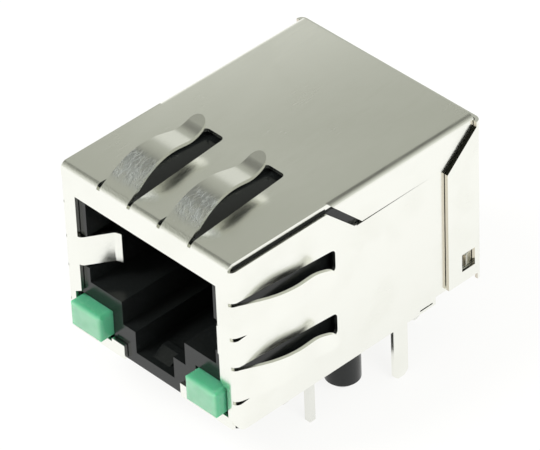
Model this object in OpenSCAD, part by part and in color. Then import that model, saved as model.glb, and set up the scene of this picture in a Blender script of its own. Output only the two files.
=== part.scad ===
// Shielded RJ45 board jack with built-in magnetics, tab down, two indicator lamps and sprung shield fingers.
// Millimetres, +Z up. The origin is on the board plane, midway between the two locating pegs.
// The plug enters along +Y through the front frame.

/* [Shield] */
// Width over the side walls
shell_w = 16; // [15.8:0.1:17]
// Height of the top plate above the board
shell_h = 13.55; // [13.4:0.05:14.5]
// Depth from the front frame to the rear edge of the top plate
shell_d = 21.7; // [21.2:0.1:24]
// Thickness of the folded sheet
sheet_t = 0.25; // [0.2:0.01:0.3]
// Outer radius of the main folds
bend_r = 0.5; // [0.45:0.05:0.7]
// Height of the shield's lower edge above the board
skirt_gap = 0.1; // [0.05:0.05:0.3]
// Radius of the side wall's lower front corner
toe_r = 0.8; // [0.4:0.1:1.2]

/* [Front frame] */
// Half width of the plug opening
mouth_x = 6.55; // [6.4:0.05:6.9]
// Upper edge of the plug opening
mouth_top = 11.4; // [11.3:0.05:11.8]
// Half width of the notch below the latch
notch_x = 2.65; // [2.4:0.05:2.85]
// Upper edge of the short legs beside the notch
leg_top = 1.2; // [0.9:0.05:1.5]

/* [Plug springs] */
// Lower edge of the springs that press on the plug's sides
plug_spring_z = 5.85; // [5.4:0.05:6.4]
// Height of each plug spring
plug_spring_h = 2.3; // [1.6:0.1:2.6]
// Length of each plug spring before its turned end
plug_spring_l = 1.9; // [1.4:0.1:2.3]

/* [Shield fingers] */
// Length of a finger's window, from the front frame
window_l = 9; // [8.4:0.1:10]
// Half width of the window at its front
window_front = 1.55; // [1.45:0.05:1.7]
// Half width of the window at its rear
window_rear = 0.88; // [0.8:0.02:1]
// Gap between a finger's root and the window's edge
finger_slit = 0.28; // [0.2:0.02:0.35]
// Half width of a finger at its tip
finger_tip = 0.68; // [0.55:0.02:0.75]
// Distance of each top finger from the middle
top_finger_x = 2.8; // [2.4:0.1:3.2]
// Height of the lower side fingers
low_finger_z = 3.85; // [3.5:0.05:4.2]
// Height of the upper side fingers
high_finger_z = 9.05; // [8.6:0.05:9.3]
// Angle at which a top finger leaves the frame
top_rise = 34; // [26:1:38]
// Angle at which a side finger leaves the frame
side_rise = 21; // [14:1:26]

/* [Side seam] */
// Distance of the folded strip's front end from the frame
strip_y = 8.7; // [8.2:0.1:9.5]
// Height of the seam between strip and side wall
seam_z = 10.8; // [10.6:0.05:11.2]
// Distance at which the seam closes
seam_end = 17.7; // [15:0.1:18.5]
// Width of the gap at the strip's slanted end
strip_gap = 0.28; // [0.2:0.02:0.4]
// Drop of the side wall's free edge where the gap is widest
wedge_drop = 0.42; // [0.3:0.02:0.55]
// Inset of the top plate's free edge from the side wall's face
top_inset = 0.28; // [0.2:0.02:0.35]

/* [Rear cover] */
// Distance of the flaps' front edges from the frame
flap_y = 18.9; // [18.4:0.1:19.6]
// Height of the flaps' lower edge
flap_bottom = 0.8; // [0.5:0.05:1]
// Height at which the slanted upper edge of a flap starts
flap_top = 10.4; // [9.6:0.1:10.6]
// Clearance between the two shields
shield_gap = 0.05; // [0.03:0.01:0.1]
// Gap between the top plate's rear edge and the rear plate
rear_gap = 0.15; // [0.1:0.01:0.3]
// Width of the latch windows along the jack
latch_w = 1.2; // [1.1:0.05:1.5]
// Height of the latch windows
latch_h = 1.4; // [1.2:0.05:1.6]
// Height of the latch windows' middle
latch_z = 2.4; // [2:0.05:3]

/* [Board side] */
// Distance of the locating pegs from the front frame
peg_y = 11.5; // [11:0.1:12.4]
// Distance between the two pegs
peg_pitch = 11.43; // [11.2:0.01:11.6]
// Radius of a peg
peg_r = 1.25; // [1.1:0.05:1.4]
// Length of a peg below the board plane
peg_l = 3.7; // [2.6:0.1:3.8]
// Chamfer at a peg's tip
peg_chamfer = 0.4; // [0.2:0.05:0.5]
// Length of all pins and tails below the board plane
pin_l = 4.1; // [3.8:0.1:4.6]
// Thickness of the square pins
pin_t = 0.5; // [0.4:0.02:0.6]
// Distance between the two rows of signal pins
row_pitch = 2.54; // [2.54:0.01:2.8]
// Distance between neighbouring signal pins across the jack
pin_pitch = 1.27; // [1.2:0.01:1.3]
// Distance of the front row of signal pins from the front frame
row_y = 16.9; // [16.6:0.1:17.4]
// Distance of the ground tails' middle from the front frame
tail_y = 14.65; // [14:0.05:15.2]
// Width of a ground tail
tail_w = 1.3; // [1.2:0.05:1.8]
// Distance of the retaining lugs' middle behind the ground tails' middle
lug_set = 2.425; // [2.2:0.005:2.6]
// Width of a retaining lug
lug_w = 1.05; // [0.8:0.05:1.2]

/* [Housing] */
// Clearance between the housing and the shield
fit_gap = 0.05; // [0.03:0.01:0.1]
// Width of the plug cavity
plug_w = 11.84; // [11.7:0.02:12]
// Floor of the plug cavity, which is the lamp pockets' shelf
shelf_z = 4.55; // [4.4:0.05:4.7]
// Ceiling of the plug cavity
ceiling_z = 11.3; // [11.2:0.05:11.4]
// Depth of the plug cavity
plug_d = 10.9; // [10.6:0.1:11.6]
// Half width of the latch keyway
key_x = 2.95; // [2.9:0.05:3.1]
// Height of the keyway's upper step
key_step_z = 2.7; // [2.4:0.05:3]
// Half width of the keyway below the step
key_low_x = 1.8; // [1.6:0.05:2.1]
// Floor of the keyway
key_floor_z = 0.95; // [0.8:0.05:1.3]
// Depth of the keyway
key_d = 9.4; // [8.6:0.1:10]
// Width of the ramp on the keyway's floor
ramp_w = 1.6; // [1.2:0.1:2]
// Height of the ramp on the keyway's floor
ramp_h = 0.5; // [0.3:0.05:0.6]
// Depth of the recesses behind the side fingers
side_recess = 0.6; // [0.4:0.05:0.8]
// Depth of the recesses behind the top fingers
top_recess = 0.3; // [0.2:0.05:0.35]
// Wall between the plug cavity and the rear chamber
partition_t = 2.3; // [2:0.1:2.6]
// Thickness of the rear chamber's side walls
chamber_wall = 0.8; // [0.6:0.05:1]
// Thickness of the roof over the contacts and the chamber
roof_t = 0.6; // [0.55:0.05:0.7]

/* [Lamps] */
// Distance of a lamp's outer side from the shield's side face
lamp_inset = 1.05; // [0.95:0.05:1.2]
// Width of a lamp
lamp_w = 3; // [2.8:0.05:3.1]
// Height of a lamp's lower face
lamp_z = 1.05; // [0.95:0.05:1.3]
// Height of a lamp
lamp_h = 2.15; // [1.9:0.05:2.3]
// Length of a lamp inside the jack
lamp_d = 4.2; // [3.6:0.1:4.8]
// Distance that a lamp stands proud of the frame
lamp_proud = 0.85; // [0.5:0.05:1]
// Radius of a lamp's edges
lamp_r = 0.4; // [0.2:0.05:0.6]
// Distance between the two leads of a lamp
lead_pitch = 2.54; // [2.3:0.01:2.6]
// Distance of the lamp leads' tails from the front frame
lead_y = 7.5; // [7.2:0.1:8]

/* [Contacts] */
// Distance between neighbouring contacts
contact_pitch = 1.016; // [1:0.002:1.03]
// Width of a contact wire
contact_w = 0.4; // [0.34:0.01:0.46]
// Thickness of a contact wire
contact_t = 0.25; // [0.2:0.01:0.3]
// Distance of the contacts' front bend from the front frame
contact_y = 2.9; // [2.6:0.1:3.4]
// Downward slope of the contacts' sprung arms
contact_slope = 16; // [13:0.5:17]
// Thickness of the tongue between the contacts' two arms
tongue_t = 0.6; // [0.5:0.02:0.7]

/* [Magnetics] */
// Thickness of the circuit board
board_t = 0.8; // [0.6:0.1:1]
// Clearance between the circuit board's sides and the rear chamber
board_gap = 0.6; // [0.3:0.1:0.9]
// Outer radius of a toroid core
core_r = 1.75; // [1.5:0.05:1.9]
// Radius of the hole in a toroid core
core_hole_r = 0.85; // [0.7:0.05:1]
// Length of a toroid core along its axis
core_h = 1.6; // [1.2:0.1:1.8]
// Turns of wire on a core
turns = 14; // [10:1:18]
// Thickness of the winding wire
wire_t = 0.18; // [0.14:0.01:0.24]
// Height of the pin block
block_h = 1.8; // [1.6:0.1:2]

/* [Hidden] */
contact_count = 8;
pin_count = 8;
core_count = 4;
resistor_count = 4;
lead_count = 4;
function numbered(name, count) = [for (i = [1:count]) str(name, "_", i)];

// Small overlap that joins pieces of one solid
join = 0.02;
// Reach of a cutter past the face that it leaves through
past = 1;

// Housing
house_x = shell_w / 2 - sheet_t - fit_gap;
house_front = sheet_t + fit_gap;
house_top = shell_h - sheet_t - fit_gap;
house_rear = shell_d - 0.3;
house_edge = 0.32;
plug_x = plug_w / 2;
roof_z = house_top - roof_t;
partition_rear = plug_d + partition_t;
chamber_x = house_x - chamber_wall;

// Contacts, tongue and insert
contact_r = (tongue_t + contact_t) / 2;
upper_run_z = roof_z - 0.45;
tongue_top = upper_run_z - contact_t / 2;
tongue_z = tongue_top - tongue_t;
tongue_x = contact_count * contact_pitch / 2 + 0.9;
guide_x = tongue_x - 0.45;
arm_l = 8.2;
comb_w = contact_pitch - 0.42;
rib_w = contact_pitch - contact_w - 0.2;

// Circuit board and what it carries
board_y = partition_rear + 1;
board_rear = board_y + board_t;
board_bottom = skirt_gap + block_h - 0.6;
board_top = roof_z - fit_gap;
block_x = chamber_x - fit_gap;
block_z = skirt_gap - 0.05;
block_top = block_z + block_h;

board_w = 2 * (chamber_x - board_gap);

// Lamps and their leads
lamp_x = shell_w / 2 - lamp_inset - lamp_w / 2;
lead_z = lamp_z + lamp_h / 2;
lead_bend = 0.6;
groove_w = pin_t + 0.1;

// Finger recesses in the housing
recess_x = window_front + 0.15;
recess_front = 0.8;
recess_rear = window_l + 0.35;

flap_x = shell_w / 2 + shield_gap + sheet_t;
rear_y = shell_d + rear_gap + sheet_t;
latch_y = rear_y - 0.75 - latch_w / 2;
lug_y = tail_y + lug_set;
lug_rear = lug_y + lug_w / 2 + 0.15;
lug_slot = 0.05;

// Points of an arc about (cx, cy), from angle a0 to angle a1
function arc(cx, cy, r, a0, a1, n = 8) =
    [for (i = [0:n]) let (a = a0 + (a1 - a0) * i / n) [cx + r * cos(a), cy + r * sin(a)]];

// Stations [x, y, heading] along a bent strip, whose legs are [straight length, bend radius, bend angle]
function bend_end(p, r, turn) =
    let (s = sign(turn), c = [p[0] - s * r * sin(p[2]), p[1] + s * r * cos(p[2])], a = p[2] + turn)
    [c[0] + s * r * sin(a), c[1] - s * r * cos(a), a];
function stations(legs, p, i = 0) =
    i == len(legs) ? [p] :
    let (leg = legs[i])
    let (q = [p[0] + leg[0] * cos(p[2]), p[1] + leg[0] * sin(p[2]), p[2]])
    let (n = max(1, ceil(abs(leg[2]) / 6)))
    let (bends = leg[2] == 0 ? [q] : [for (k = [0:n]) bend_end(q, leg[1], leg[2] * k / n)])
    concat([p], leg[0] > 0 ? bends : [for (k = [1:len(bends) - 1]) bends[k]],
        i + 1 == len(legs) ? [] : after_first(stations(legs, bends[len(bends) - 1], i + 1)));
function after_first(list) = [for (k = [1:len(list) - 1]) list[k]];
function beside(list, d) = [for (p = list) [p[0] - d * sin(p[2]), p[1] + d * cos(p[2])]];
function turned(list) = [for (k = [len(list) - 1:-1:0]) list[k]];

// Outline of a bent strip of thickness t that starts at p = [x, y, heading]
module strip(p, legs, t) {
    path = stations(legs, p);
    polygon(concat(beside(path, t / 2), turned(beside(path, -t / 2))));
}

// Extrusions: the outline is drawn in YZ, XZ or XY
module across(w) {
    rotate([90, 0, 90])
        linear_extrude(height = w, center = true)
            children();
}
module along(y0, y1) {
    translate([0, y1, 0])
        rotate([90, 0, 0])
            linear_extrude(height = y1 - y0)
                children();
}
module upright(z0, z1) {
    translate([0, 0, z0])
        linear_extrude(height = z1 - z0)
            children();
}
module block(x0, x1, y0, y1, z0, z1) {
    translate([x0, y0, z0])
        cube([x1 - x0, y1 - y0, z1 - z0]);
}
module both_sides() {
    children();
    mirror([1, 0, 0])
        children();
}
// Everything is drawn from the front frame's face and set back so that the pegs stand at y = 0
module placed() {
    translate([0, -peg_y, 0])
        children();
}

// Rounded U seen from above: side, front fold, frame, front fold, side
module wrap_outline(half_w, r, front, rear) {
    polygon(concat(
        [[-half_w, rear]],
        arc(-half_w + r, front + r, r, 180, 270),
        arc(half_w - r, front + r, r, 270, 360),
        [[half_w, rear]]
    ));
}

// Planform of a finger's window, along +Y from the frame
module window_outline() {
    corner = 0.35;
    polygon(concat(
        [[-window_front, -past], [window_front, -past], [window_front, sheet_t]],
        arc(window_rear - corner, window_l - corner, corner, 0, 90, 4),
        arc(-window_rear + corner, window_l - corner, corner, 90, 180, 4),
        [[-window_front, sheet_t]]
    ));
}

// Planform of a finger: tapered, with a round tip
module finger_outline() {
    root = window_front - finger_slit;
    tip_y = window_l - 1.05 - finger_tip;
    polygon(concat(
        [[-root, -past], [root, -past], [root, bend_r]],
        arc(0, tip_y, finger_tip, 8, 172, 12),
        [[-root, bend_r]]
    ));
}

// A sprung finger that leaves the frame, arches outwards and curls up at its tip; outer sheet face at z = 0
module finger(rise) {
    crown_r = 2.6 / sin(rise);
    fall = rise / 3;
    intersection() {
        across(2 * window_front)
            strip([sheet_t / 2, -bend_r - 0.2, 90],
                [
                    [0.2, bend_r - sheet_t / 2, rise - 90],
                    [1.65, crown_r, -rise],
                    [0, crown_r, -fall],
                    [0.7, 2.2, fall + rise * 0.9],
                    [1, 1, 0]
                ],
                sheet_t);
        upright(-2 * bend_r, 4)
            finger_outline();
    }
}
module finger_window() {
    upright(-bend_r * 0.75, past)
        window_outline();
}
module on_top(x) {
    translate([x, 0, shell_h])
        children();
}
module on_side(z) {
    translate([shell_w / 2, 0, z])
        rotate([0, 90, 0])
            children();
}

// Opening in the frame: plug mouth, lamp windows and the notch below the latch
module frame_opening() {
    lamp_edge = lamp_x + lamp_w / 2 + 0.2;
    window_top = lamp_z + lamp_h + 0.1;
    polygon([
        [-notch_x, skirt_gap - past], [notch_x, skirt_gap - past],
        [notch_x, leg_top], [lamp_x - lamp_w / 2 - 0.1, leg_top],
        [lamp_x - lamp_w / 2 - 0.1, lamp_z - 0.1], [lamp_edge, lamp_z - 0.1],
        [lamp_edge, window_top], [mouth_x, window_top + 0.35], [mouth_x, mouth_top],
        [-mouth_x, mouth_top], [-mouth_x, window_top + 0.35], [-lamp_edge, window_top],
        [-lamp_edge, lamp_z - 0.1], [-lamp_x + lamp_w / 2 + 0.1, lamp_z - 0.1],
        [-lamp_x + lamp_w / 2 + 0.1, leg_top], [-notch_x, leg_top]
    ]);
}

// What is cut from the wrapped sheet's side walls, seen from the side
module side_wall_cuts() {
    wall_top = shell_h - 0.1;
    slope = strip_y - strip_gap;
    lean = shell_h - seam_z;
    // Free upper edge with its wedge, the slanted step and the seam
    polygon([
        [bend_r - 0.05, wall_top], [slope, wall_top - wedge_drop],
        [slope + lean - wedge_drop, seam_z], [shell_d + past, seam_z],
        [shell_d + past, shell_h + past], [bend_r - 0.05, shell_h + past]
    ]);
    // Seam that is open at its front and closes towards the rear
    polygon([[strip_y + lean - 0.5, seam_z + 0.05], [strip_y + lean - 0.5, seam_z - 0.1], [seam_end, seam_z]]);
    // Raised lower edge at the rear
    polygon([
        [lug_y + lug_w / 2 + 0.35, -past], [lug_y + lug_w / 2 + 0.35, flap_bottom - 0.1],
        [shell_d + past, flap_bottom - 0.1], [shell_d + past, -past]
    ]);
    // Relief slot above the retaining lug
    polygon([
        [lug_y - lug_w / 2 - lug_slot, 0.42], [lug_y - lug_w / 2 - lug_slot, 0.3],
        [lug_y + lug_w / 2 + lug_slot, 0.3], [lug_y + lug_w / 2 + lug_slot, 0.42]
    ]);
}

// Strips that the top plate folds down over the side walls
module top_channel() {
    inner_r = bend_r - sheet_t;
    x = shell_w / 2;
    difference() {
        along(strip_y - 0.2, shell_d)
            polygon(concat(
                [[x - sheet_t, seam_z], [x, seam_z]],
                arc(x - bend_r, shell_h - bend_r, bend_r, 0, 90),
                arc(-x + bend_r, shell_h - bend_r, bend_r, 90, 180),
                [[-x, seam_z], [-x + sheet_t, seam_z]],
                arc(-x + bend_r, shell_h - bend_r, inner_r, 180, 90),
                arc(x - bend_r, shell_h - bend_r, inner_r, 90, 0)
            ));
        both_sides()
            translate([x, 0, 0])
                across(2 * top_inset + 0.02)
                    polygon([
                        [strip_y - past, shell_h + past], [strip_y - past, seam_z - past],
                        [strip_y + shell_h - seam_z + past, seam_z - past],
                        [strip_y, shell_h], [strip_y, shell_h + past]
                    ]);
    }
}

// Top plate with its fold to the frame
module top_plate() {
    inner_r = bend_r - sheet_t;
    across(shell_w - 2 * top_inset)
        polygon(concat(
            [[sheet_t, shell_h - 2 * bend_r], [0, shell_h - 2 * bend_r]],
            arc(bend_r, shell_h - bend_r, bend_r, 180, 90),
            [[strip_y, shell_h], [strip_y, shell_h - sheet_t]],
            arc(bend_r, shell_h - bend_r, inner_r, 90, 180)
        ));
}

// Spring that folds in from the mouth's edge and presses on the plug's side
module plug_spring() {
    upright(plug_spring_z, plug_spring_z + plug_spring_h)
        strip([-mouth_x - 0.3, sheet_t / 2, 0],
            [[0.25, 0.35, 58], [plug_spring_l, 0.5, -40], [0.35, 1, 0]],
            sheet_t);
}

// Ground tail, in the plane of the side wall
module ground_tail() {
    tip = 0.35;
    translate([shell_w / 2 - sheet_t / 2, 0, 0])
        across(sheet_t)
            polygon([
                [tail_y - tail_w / 2, skirt_gap + join], [tail_y - tail_w / 2, tip - pin_l],
                [tail_y - tail_w / 2 + tip, -pin_l], [tail_y + tail_w / 2 - tip, -pin_l],
                [tail_y + tail_w / 2, tip - pin_l], [tail_y + tail_w / 2, skirt_gap + join]
            ]);
}

// Lug that is folded in under the housing
module retaining_lug() {
    along(lug_y - lug_w / 2, lug_y + lug_w / 2)
        strip([shell_w / 2 - sheet_t / 2, 0.31, -90], [[0.02, 0.15, -90], [0.75, 1, 0]], sheet_t);
}

// Lanced tongue that snaps into the rear cover's window
module latch_tongue() {
    upright(latch_z - 0.45, latch_z + 0.45)
        strip([shell_w / 2 - sheet_t / 2, latch_y + 0.62, -90], [[0.05, 0.6, 20], [0.65, 1, 0]], sheet_t);
}
module latch_lance() {
    across(shell_w + past)
        translate([latch_y - 0.45, latch_z - 0.58])
            square([1.05, 1.16]);
}

module front_shield() {
    color([0.78, 0.78, 0.74])
        placed() {
            difference() {
                union() {
                    difference() {
                        upright(skirt_gap, shell_h - bend_r)
                            difference() {
                                wrap_outline(shell_w / 2, bend_r, 0, shell_d);
                                wrap_outline(shell_w / 2 - sheet_t, bend_r - sheet_t, sheet_t, shell_d + past);
                            }
                        across(shell_w + past)
                            side_wall_cuts();
                        both_sides()
                            translate([shell_w / 2, 0, 0])
                                across(2 * bend_r)
                                    difference() {
                                        translate([-past, skirt_gap - past])
                                            square([past + toe_r, past + toe_r]);
                                        polygon(concat(
                                            [[toe_r, skirt_gap + 2 * toe_r], [2 * toe_r, skirt_gap + 2 * toe_r]],
                                            [[2 * toe_r, skirt_gap]],
                                            arc(toe_r, skirt_gap + toe_r, toe_r, 270, 180)
                                        ));
                                    }
                    }
                    top_plate();
                    top_channel();
                }
                along(-past, sheet_t + join)
                    frame_opening();
                both_sides() {
                    on_top(top_finger_x)
                        finger_window();
                    on_side(low_finger_z)
                        finger_window();
                    on_side(high_finger_z)
                        finger_window();
                }
                latch_lance();
            }
            both_sides() {
                on_top(top_finger_x)
                    finger(top_rise);
                on_side(low_finger_z)
                    finger(side_rise);
                on_side(high_finger_z)
                    finger(side_rise);
                plug_spring();
                ground_tail();
                retaining_lug();
                latch_tongue();
            }
        }
}

module rear_shield() {
    top_z = shell_h - 0.3;
    color([0.76, 0.76, 0.72])
        placed()
            difference() {
                upright(flap_bottom - 0.5, top_z)
                    translate([0, rear_y])
                        mirror([0, 1])
                            difference() {
                                wrap_outline(flap_x, bend_r, 0, rear_y - flap_y);
                                wrap_outline(flap_x - sheet_t, bend_r - sheet_t, sheet_t, rear_y);
                            }
                across(2 * flap_x + past)
                    polygon([
                        [flap_y - past, flap_top - past], [flap_y, flap_top],
                        [rear_y - bend_r, top_z - 0.4], [rear_y - bend_r, top_z + past], [flap_y - past, top_z + past]
                    ]);
                across(2 * flap_x + past)
                    polygon([
                        [flap_y - past, -past], [rear_y - bend_r, -past],
                        [rear_y - bend_r, flap_bottom], [flap_y - past, flap_bottom]
                    ]);
                across(2 * flap_x + past)
                    translate([latch_y - latch_w / 2, latch_z - latch_h / 2])
                        square([latch_w, latch_h]);
            }
}

// Housing's outer form: a block with small chamfers on its long edges
module housing_block() {
    c = house_edge;
    intersection() {
        upright(0, house_top)
            polygon([
                [-house_x, house_rear], [-house_x, house_front + c], [-house_x + c, house_front],
                [house_x - c, house_front], [house_x, house_front + c], [house_x, house_rear]
            ]);
        along(house_front, house_rear)
            polygon([
                [-house_x, 0], [house_x, 0], [house_x, house_top - c], [house_x - c, house_top],
                [-house_x + c, house_top], [-house_x, house_top - c]
            ]);
        across(shell_w)
            polygon([
                [house_front, 0], [house_rear, 0], [house_rear, house_top],
                [house_front + c, house_top], [house_front, house_top - c]
            ]);
    }
}

// Plug cavity with the latch keyway below it
module plug_cavity() {
    block(-plug_x, plug_x, house_front - past, plug_d, shelf_z, ceiling_z);
    block(-key_x, key_x, house_front - past, key_d, key_step_z, shelf_z + join);
    block(-key_low_x, key_low_x, house_front - past, key_d, key_floor_z, key_step_z + join);
    // Lead-in at the mouth
    across(2 * key_x)
        polygon([
            [house_front - past, shelf_z - 0.6], [house_front, shelf_z - 0.6],
            [house_front + 0.6, shelf_z], [house_front - past, shelf_z]
        ]);
}

// Guide for the insert's tongue, and the space for the contacts above and below it
module insert_guide() {
    block(-guide_x, guide_x, contact_y - 1.1, partition_rear + join, ceiling_z - join, roof_z);
    block(-tongue_x - fit_gap, tongue_x + fit_gap, contact_y - 0.4, partition_rear + join,
        tongue_z - fit_gap, tongue_top + fit_gap);
    block(-tongue_x - fit_gap, tongue_x + fit_gap, plug_d - join, partition_rear + join,
        shelf_z + 3, roof_z);
}

// Pocket for a lamp, open at the front, with grooves below for its leads
module lamp_pocket() {
    c = fit_gap;
    block(lamp_x - lamp_w / 2 - c, lamp_x + lamp_w / 2 + c, house_front - past, lamp_d + c,
        lamp_z - c, lamp_z + lamp_h + c);
    for (side = [-1, 1])
        block(lamp_x + side * lead_pitch / 2 - groove_w / 2, lamp_x + side * lead_pitch / 2 + groove_w / 2,
            lamp_d - join, lead_y + pin_t / 2 + c, -past, lead_z + pin_t / 2 + c);
}

module finger_recess(depth) {
    upright(-depth - sheet_t - fit_gap, past)
        polygon([
            [-recess_x, recess_front], [recess_x, recess_front],
            [window_rear + 0.15, recess_rear], [-window_rear - 0.15, recess_rear]
        ]);
}

module spring_recess() {
    block(-mouth_x - 0.2, -plug_x + join, house_front - past, plug_spring_l + 1,
        plug_spring_z - 0.15, plug_spring_z + plug_spring_h + 0.15);
}

module locating_peg() {
    translate([peg_pitch / 2, peg_y, 0])
        rotate_extrude($fn = 64)
            polygon([
                [0, join], [peg_r, join], [peg_r, peg_chamfer - peg_l], [peg_r - peg_chamfer, -peg_l], [0, -peg_l]
            ]);
}

module housing() {
    color([0.09, 0.1, 0.1])
        placed() {
            difference() {
                housing_block();
                plug_cavity();
                insert_guide();
                // Rear chamber, open below and behind
                block(-chamber_x, chamber_x, partition_rear, house_rear + past, -past, roof_z);
                both_sides() {
                    lamp_pocket();
                    spring_recess();
                    on_top(top_finger_x)
                        finger_recess(top_recess);
                    on_side(low_finger_z)
                        finger_recess(side_recess);
                    on_side(high_finger_z)
                        finger_recess(side_recess);
                    // Raised lower edge behind the lug
                    block(chamber_x - past, house_x + past, lug_rear - join, house_rear + past, -past, flap_bottom);
                    // Seat of the shield's retaining lug
                    block(house_x - 1.2, house_x + past, lug_y - lug_w / 2 - 0.1, lug_rear, -past, 0.34);
                }
            }
            both_sides()
                locating_peg();
            // Ramp on the keyway's floor
            across(ramp_w)
                polygon([
                    [house_front + 0.5, key_floor_z - join], [house_front + 0.5, key_floor_z],
                    [house_front + 1.4, key_floor_z + ramp_h], [house_front + 1.9, key_floor_z + ramp_h],
                    [house_front + 2.4, key_floor_z - join]
                ]);
        }
}

// Insert that slides in from the rear: tongue, comb wall and ribs between the contacts
module contact_insert() {
    nose = tongue_t / 2;
    color([0.12, 0.12, 0.13])
        placed()
            difference() {
                union() {
                    across(2 * tongue_x)
                        polygon(concat(
                            [[board_y, tongue_z], [board_y, tongue_top]],
                            arc(contact_y, tongue_z + nose, nose, 90, 270, 8)
                        ));
                    block(-tongue_x, tongue_x, plug_d + fit_gap, board_y, shelf_z + 3 + fit_gap, tongue_top);
                    for (i = [0:contact_count])
                        translate([(i - contact_count / 2) * contact_pitch, 0, 0])
                            block(-rib_w / 2, rib_w / 2, contact_y + 0.4, board_y, tongue_top - join, roof_z - 0.1);
                }
                for (i = [0:contact_count - 1])
                    translate([(i - (contact_count - 1) / 2) * contact_pitch, 0, 0])
                        block(-comb_w / 2, comb_w / 2, plug_d - past, plug_d + 1.3, shelf_z + 3.6, tongue_z);
            }
}

// Spring wire: runs forwards on the tongue, wraps its nose and slopes back down into the plug's space
module contact(i) {
    rear = board_rear + 0.35;
    color([0.9, 0.72, 0.35])
        placed()
            translate([(i - (contact_count + 1) / 2) * contact_pitch, 0, 0])
                across(contact_w)
                    strip([rear, upper_run_z, 180],
                        [
                            [rear - contact_y, contact_r, 180 - contact_slope],
                            [arm_l, 1.2, 14],
                            [0.35, 1, 0]
                        ],
                        contact_t);
}

module magnetics_board() {
    hole_r = 0.27;
    color([0.1, 0.35, 0.2])
        placed()
            difference() {
                block(-board_w / 2, board_w / 2, board_y, board_rear, board_bottom, board_top);
                for (i = [1:contact_count])
                    translate([(i - (contact_count + 1) / 2) * contact_pitch, 0, 0])
                        along(board_y - past, board_rear + past)
                            translate([0, upper_run_z])
                                circle(r = hole_r, $fn = 24);
            }
}

// Pin block that closes the chamber below, holds the signal pins and seats the circuit board
module pin_block() {
    color([0.1, 0.1, 0.11])
        placed()
            difference() {
                block(-block_x, block_x, partition_rear + fit_gap, house_rear, block_z, block_top);
                block(-board_w / 2, board_w / 2, board_y, board_rear, board_bottom, block_top + past);
                for (i = [1:pin_count])
                    at_pin(i)
                        block(-pin_t / 2, pin_t / 2, -pin_t / 2, pin_t / 2, block_z - past, block_top + past);
            }
}

// Signal pins stand in two rows, set half a pitch apart
module at_pin(i) {
    translate([(i - (pin_count + 1) / 2) * pin_pitch, row_y + (i % 2 == 0 ? row_pitch : 0), 0])
        children();
}

// Square pin with a pyramid-like chamfered tip
module square_pin(bottom, top) {
    c = 0.15;
    intersection() {
        across(pin_t)
            polygon([
                [-pin_t / 2, top], [-pin_t / 2, bottom + 2 * c], [-pin_t / 2 + c, bottom],
                [pin_t / 2 - c, bottom], [pin_t / 2, bottom + 2 * c], [pin_t / 2, top]
            ]);
        along(-pin_t, pin_t)
            polygon([
                [-pin_t / 2, top], [-pin_t / 2, bottom + 2 * c], [-pin_t / 2 + c, bottom],
                [pin_t / 2 - c, bottom], [pin_t / 2, bottom + 2 * c], [pin_t / 2, top]
            ]);
    }
}

module signal_pin(i) {
    color([0.8, 0.8, 0.78])
        placed()
            at_pin(i)
                square_pin(-pin_l, block_top + 0.8);
}

// Lamp with rounded front edges
module lamp() {
    r = lamp_r;
    front = -lamp_proud;
    color([0.45, 0.78, 0.6])
        placed()
            translate([lamp_x, 0, lamp_z])
                intersection() {
                    upright(0, lamp_h)
                        polygon(concat(
                            [[-lamp_w / 2, lamp_d]],
                            arc(-lamp_w / 2 + r, front + r, r, 180, 270, 6),
                            arc(lamp_w / 2 - r, front + r, r, 270, 360, 6),
                            [[lamp_w / 2, lamp_d]]
                        ));
                    across(lamp_w)
                        polygon(concat(
                            [[lamp_d, 0]],
                            turned(arc(front + r, r, r, 180, 270, 6)),
                            turned(arc(front + r, lamp_h - r, r, 90, 180, 6)),
                            [[lamp_d, lamp_h]]
                        ));
                    along(front, lamp_d)
                        polygon(concat(
                            arc(-lamp_w / 2 + r, r, r, 180, 270, 6),
                            arc(lamp_w / 2 - r, r, r, 270, 360, 6),
                            arc(lamp_w / 2 - r, lamp_h - r, r, 0, 90, 6),
                            arc(-lamp_w / 2 + r, lamp_h - r, r, 90, 180, 6)
                        ));
                }
}

// Lead of a lamp: runs back from the lamp and bends down through the board
module led_lead(i) {
    side = i <= 2 ? -1 : 1;
    x = side * lamp_x + (i % 2 == 0 ? 1 : -1) * lead_pitch / 2;
    color([0.8, 0.8, 0.78])
        placed()
            translate([x, 0, 0])
                across(pin_t)
                    strip([lamp_d, lead_z, 0],
                        [[lead_y - lamp_d - lead_bend, lead_bend, -90], [lead_z - lead_bend + pin_l, 1, 0]],
                        pin_t);
}

// Cores lie flat against the circuit board, two beside two
module at_core(i) {
    column = (i - 1) % 2;
    row = floor((i - 1) / 2);
    translate([
        (column - 0.5) * 2 * (core_r + 1.2),
        board_rear + wire_t + core_h / 2,
        block_top + core_r + 1 + row * 2 * (core_r + 0.45)
    ])
        rotate([90, 0, 0])
            children();
}

module toroid_core(i) {
    color([0.25, 0.26, 0.27])
        placed()
            at_core(i)
                rotate_extrude($fn = 64)
                    translate([core_hole_r, -core_h / 2])
                        square([core_r - core_hole_r, core_h]);
}

// Turns of wire around a core's section; the slack clears the curve of the core's hole
module winding(i) {
    section_w = core_r - core_hole_r;
    wire_slack = core_hole_r - sqrt(core_hole_r * core_hole_r - wire_t * wire_t / 4) + 0.005;
    color([0.72, 0.4, 0.18])
        placed()
            at_core(i)
                for (k = [0:turns - 1])
                    rotate([0, 0, k * 360 / turns])
                        translate([core_hole_r, 0, 0])
                            rotate([90, 0, 0])
                                linear_extrude(height = wire_t, center = true)
                                    difference() {
                                        translate([-wire_t, -core_h / 2 - wire_t])
                                            square([section_w + 2 * wire_t, core_h + 2 * wire_t]);
                                        translate([-wire_slack, -core_h / 2])
                                            square([section_w + wire_slack, core_h]);
                                    }
}

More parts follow.
